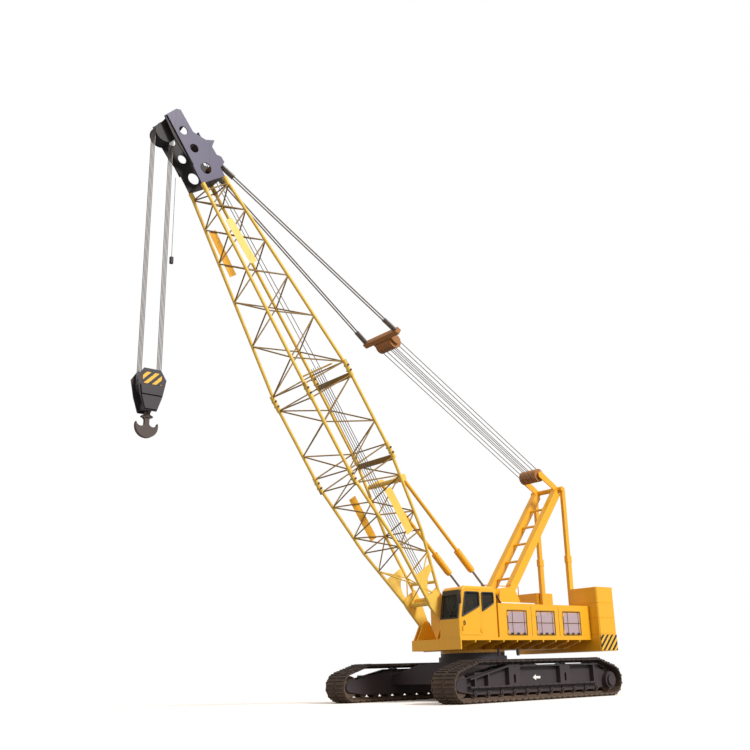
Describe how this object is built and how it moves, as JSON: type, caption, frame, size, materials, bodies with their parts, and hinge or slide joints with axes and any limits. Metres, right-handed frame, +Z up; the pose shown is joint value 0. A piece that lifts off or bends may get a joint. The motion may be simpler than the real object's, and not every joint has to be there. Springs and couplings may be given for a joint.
{
  "type": "crawler crane",
  "caption": "Crawler crane with a lattice boom on a slewing upper works, gantry, pendants, hook block, cab, machinery houses, counterweight and two tracks.",
  "frame": {"origin": "on the ground under the slewing axis, midway between the tracks", "axes": "+X forward along the boom, +Y to the left, +Z up"},
  "size_m": [17.8414, 6.3, 17.7163],
  "materials": {
    "yellow_paint": "gloss paint",
    "dark_paint": "satin paint",
    "track_steel": "worn steel",
    "glass": "tinted",
    "seat_fabric": "woven",
    "console_plastic": "matt",
    "engine_iron": "painted casting",
    "brown_paint": "weathered paint",
    "head_paint": "satin paint",
    "rope_steel": "laid rope",
    "hook_iron": "forged"
  },
  "bodies": {
    "undercarriage": {"car_body": "dark_paint", "slewing_ring": "dark_paint", "track_left": "track_steel", "track_frame_left": "dark_paint", "track_wheels_left": "track_steel", "final_drive_left": "dark_paint", "track_right": "track_steel", "track_frame_right": "dark_paint", "track_wheels_right": "track_steel", "final_drive_right": "dark_paint"},
    "upper": {"rotating_bed": "yellow_paint", "deck_left": "yellow_paint", "deck_right": "yellow_paint", "cab_shell": "yellow_paint", "cab_floor": "dark_paint", "cab_windows": "glass", "cab_seat": "seat_fabric", "cab_console": "console_plastic", "house_left": "yellow_paint", "house_right": "yellow_paint", "engine": "engine_iron", "counterweight_base": "yellow_paint", "counterweight_lower": "yellow_paint", "counterweight_middle": "yellow_paint", "counterweight_upper": "yellow_paint", "gantry_mast": "yellow_paint", "gantry_legs_lower": "yellow_paint", "gantry_legs_upper": "yellow_paint", "gantry_head": "yellow_paint", "gantry_sheaves": "brown_paint"},
    "cab_door": {"cab_door": "yellow_paint", "cab_door_glass": "glass"},
    "hatch_1": {"hatch_1": "yellow_paint"},
    "hatch_2": {"hatch_2": "yellow_paint"},
    "hatch_3": {"hatch_3": "yellow_paint"},
    "main_drum": {"main_drum": "rope_steel"},
    "auxiliary_drum": {"auxiliary_drum": "rope_steel"},
    "luffing_drum": {"luffing_drum": "rope_steel"},
    "boom": {"boom_base": "yellow_paint", "boom_insert": "yellow_paint", "boom_top": "yellow_paint", "boom_head": "head_paint", "head_sheaves": "brown_paint", "boom_boards": "yellow_paint", "backstop_beam": "yellow_paint"},
    "stays": {"pendant_link": "brown_paint", "pendants": "rope_steel", "equaliser": "brown_paint", "upper_falls": "rope_steel"},
    "lower_falls": {"lower_falls": "rope_steel"},
    "hoist": {"hoist_falls": "rope_steel", "hook_block": "dark_paint"},
    "hook": {"hook": "hook_iron"},
    "backstop_tube_left": {"backstop_tube_left": "yellow_paint"},
    "backstop_tube_right": {"backstop_tube_right": "yellow_paint"},
    "backstop_rod_left": {"backstop_rod_left": "rope_steel"},
    "backstop_rod_right": {"backstop_rod_right": "rope_steel"}
  },
  "joints": [
    {"name": "slew", "type": "hinge", "parent": "undercarriage", "child": "upper", "pos_m": [0, 0, 1.47], "axis": [0, 0, 1], "continuous": true},
    {"name": "luff", "type": "hinge", "parent": "upper", "child": "boom", "pos_m": [1.62, 0, 2.36], "axis": [0, -1, 0], "range_deg": [-26.15, 23.85]},
    {"name": "stay_swing", "type": "hinge", "parent": "boom", "child": "stays", "pos_m": [10.36267, 0, 16.47219], "axis": [0, -1, 0], "range_deg": [-3.36, 3.64]},
    {"name": "fall_swing", "type": "hinge", "parent": "upper", "child": "lower_falls", "pos_m": [-3.62, 0, 7.93], "axis": [0, -1, 0], "range_deg": [-23.51, 21.49]},
    {"name": "hoist_hang", "type": "hinge", "parent": "boom", "child": "hoist", "pos_m": [12.15136, 0, 16.88599], "axis": [0, -1, 0], "range_deg": [-24.35, 26.65]},
    {"name": "hook_swivel", "type": "hinge", "parent": "hoist", "child": "hook", "pos_m": [12.15136, 0, 8.02], "axis": [0, 0, 1], "continuous": true},
    {"name": "backstop_swing_left", "type": "hinge", "parent": "boom", "child": "backstop_tube_left", "pos_m": [3.38876, 0.56, 7.06171], "axis": [0, -1, 0], "range_deg": [-3.51, 3.79]},
    {"name": "backstop_slide_left", "type": "slide", "parent": "backstop_tube_left", "child": "backstop_rod_left", "axis": [-0.7191, 0, -0.6949], "range_m": [-0.884, 0.968]},
    {"name": "backstop_swing_right", "type": "hinge", "parent": "boom", "child": "backstop_tube_right", "pos_m": [3.38876, -0.56, 7.06171], "axis": [0, -1, 0], "range_deg": [-3.51, 3.79]},
    {"name": "backstop_slide_right", "type": "slide", "parent": "backstop_tube_right", "child": "backstop_rod_right", "axis": [-0.7191, 0, -0.6949], "range_m": [-0.884, 0.968]},
    {"name": "main_drum_spin", "type": "hinge", "parent": "upper", "child": "main_drum", "pos_m": [-0.26, 0, 2.48], "axis": [0, 1, 0], "continuous": true},
    {"name": "auxiliary_drum_spin", "type": "hinge", "parent": "upper", "child": "auxiliary_drum", "pos_m": [-2.27, 0, 2.48], "axis": [0, 1, 0], "continuous": true},
    {"name": "luffing_drum_spin", "type": "hinge", "parent": "upper", "child": "luffing_drum", "pos_m": [-3.33, 0, 2.7], "axis": [0, 1, 0], "continuous": true},
    {"name": "cab_door_swing", "type": "hinge", "parent": "upper", "child": "cab_door", "pos_m": [1.157, 1.668, 2.7], "axis": [0, 0, 1], "range_deg": [0, 100]},
    {"name": "hatch_1_swing", "type": "hinge", "parent": "upper", "child": "hatch_1", "pos_m": [-0.042, 1.668, 2.39], "axis": [0, 0, -1], "range_deg": [0, 110]},
    {"name": "hatch_2_swing", "type": "hinge", "parent": "upper", "child": "hatch_2", "pos_m": [-1.462, 1.668, 2.39], "axis": [0, 0, -1], "range_deg": [0, 110]},
    {"name": "hatch_3_swing", "type": "hinge", "parent": "upper", "child": "hatch_3", "pos_m": [-2.832, 1.668, 2.39], "axis": [0, 0, -1], "range_deg": [0, 110]}
  ],
  "couplings": [
    {"joint": "stay_swing", "follows": "luff", "ratio": -0.12},
    {"joint": "fall_swing", "follows": "luff", "ratio": 0.88},
    {"joint": "hoist_hang", "follows": "luff", "ratio": -1},
    {"joint": "backstop_swing_left", "follows": "luff", "ratio": -0.126},
    {"joint": "backstop_slide_left", "follows": "luff", "m_per_rad": -2.1},
    {"joint": "backstop_swing_right", "follows": "luff", "ratio": -0.126},
    {"joint": "backstop_slide_right", "follows": "luff", "m_per_rad": -2.1}
  ]
}
